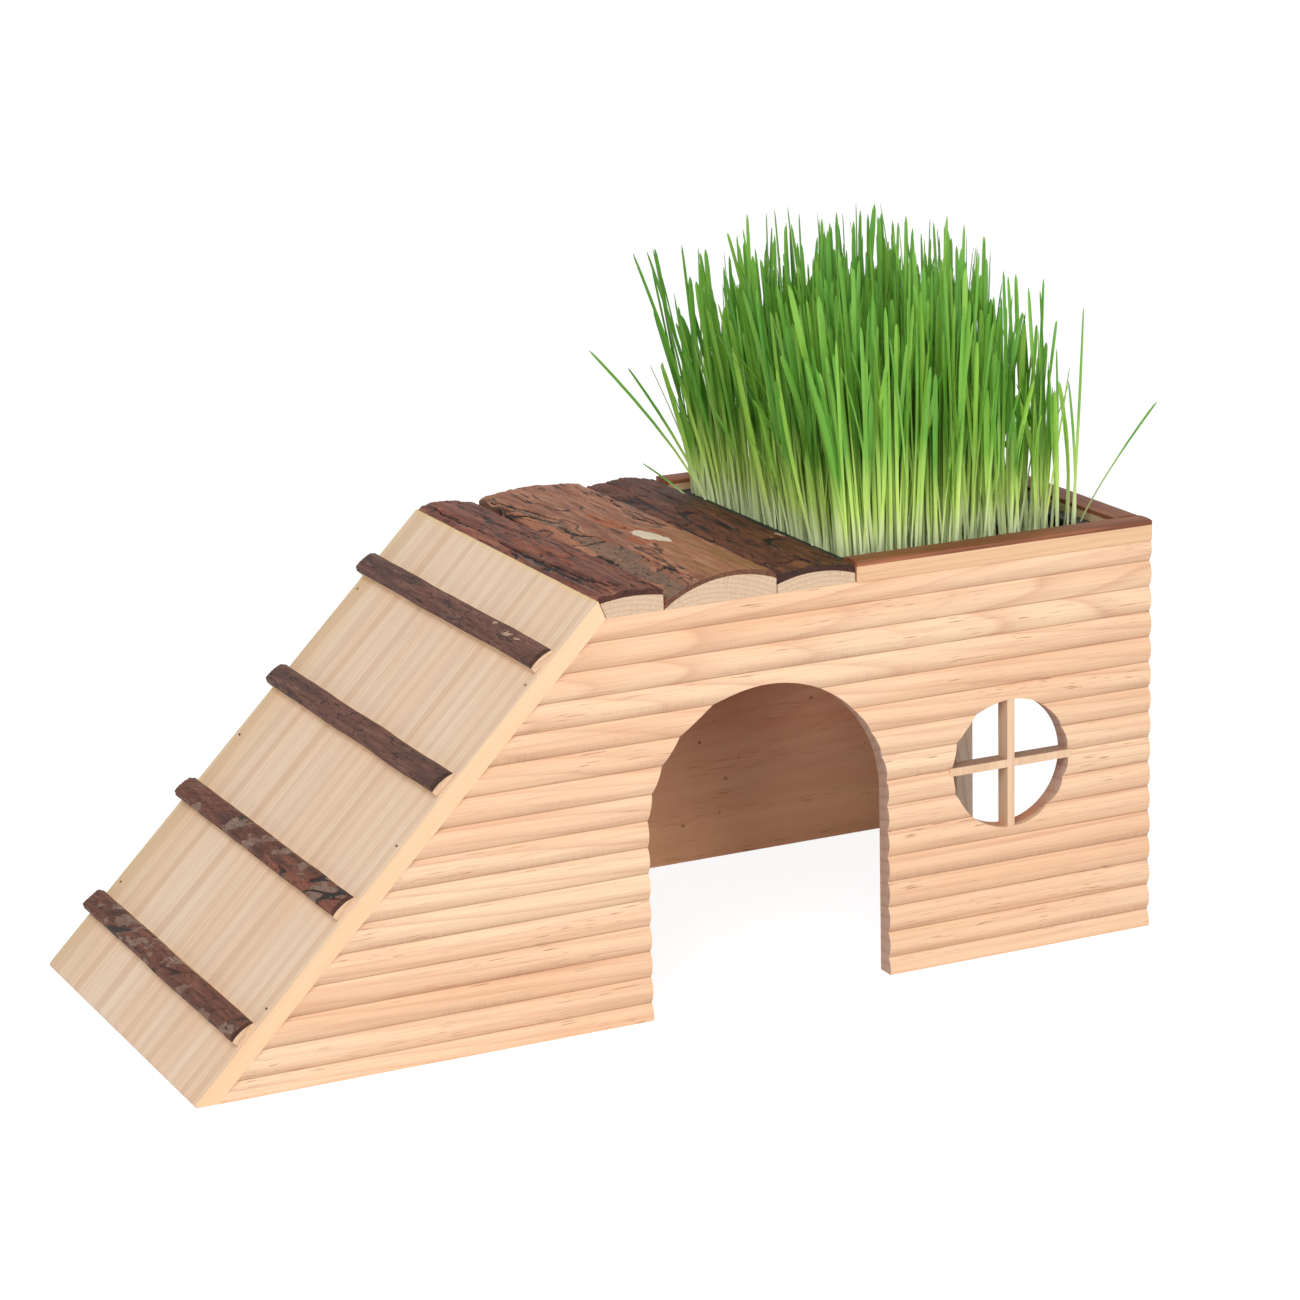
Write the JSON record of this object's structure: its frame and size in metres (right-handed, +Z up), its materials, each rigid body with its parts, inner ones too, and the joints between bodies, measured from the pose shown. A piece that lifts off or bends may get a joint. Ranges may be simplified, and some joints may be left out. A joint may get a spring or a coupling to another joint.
{
  "type": "wooden hamster house",
  "caption": "Floorless small-pet house of reeded pine with a bark-runged ramp, arched doorways, a round barred window, a split-log roof and a lift-out planter tray of grass.",
  "frame": {"origin": "middle of the footprint, on the floor", "axes": "+X along the house from the foot of the ramp to the planter end, +Y from the wall with the doorway and window to the plain back wall, +Z up"},
  "size_m": [0.4552, 0.197, 0.3336],
  "materials": {
    "wall_pine": "sanded, reeded, bare",
    "ramp_pine": "sanded, bare",
    "sawn_wood": "sawn, bare",
    "bark": "rough bark",
    "bar_pine": "sanded, bare",
    "tray_plastic": "matt black",
    "growing_mat": "moist fibre",
    "grass": "fresh leaf",
    "steel_brad": "dull"
  },
  "bodies": {
    "house": {"front_wall": "wall_pine", "back_wall": "wall_pine", "end_wall": "wall_pine", "window_bar_upright": "bar_pine", "window_bar_cross": "bar_pine", "ramp_board": "ramp_pine", "rung_1": "sawn_wood", "rung_bark_1": "bark", "rung_2": "sawn_wood", "rung_bark_2": "bark", "rung_3": "sawn_wood", "rung_bark_3": "bark", "rung_4": "sawn_wood", "rung_bark_4": "bark", "roof_slab_left": "sawn_wood", "roof_bark_left": "bark", "roof_slab_middle": "sawn_wood", "roof_bark_middle": "bark", "roof_slab_right": "sawn_wood", "roof_bark_right": "bark", "rim_front": "sawn_wood", "rim_bark_front": "bark", "rim_back": "sawn_wood", "rim_bark_back": "bark", "rim_end": "sawn_wood", "rim_bark_end": "bark", "cross_rail": "sawn_wood", "ledger_front": "sawn_wood", "ledger_back": "sawn_wood", "ledger_end": "sawn_wood", "ramp_brads": "steel_brad", "rung_brads": "steel_brad", "roof_brads": "steel_brad"},
    "tray": {"tray": "tray_plastic", "soil": "growing_mat", "grass": "grass"}
  },
  "joints": [
    {"name": "tray_lift", "type": "slide", "parent": "house", "child": "tray", "axis": [0, 0, 1], "range_m": [0, 0.06]}
  ]
}
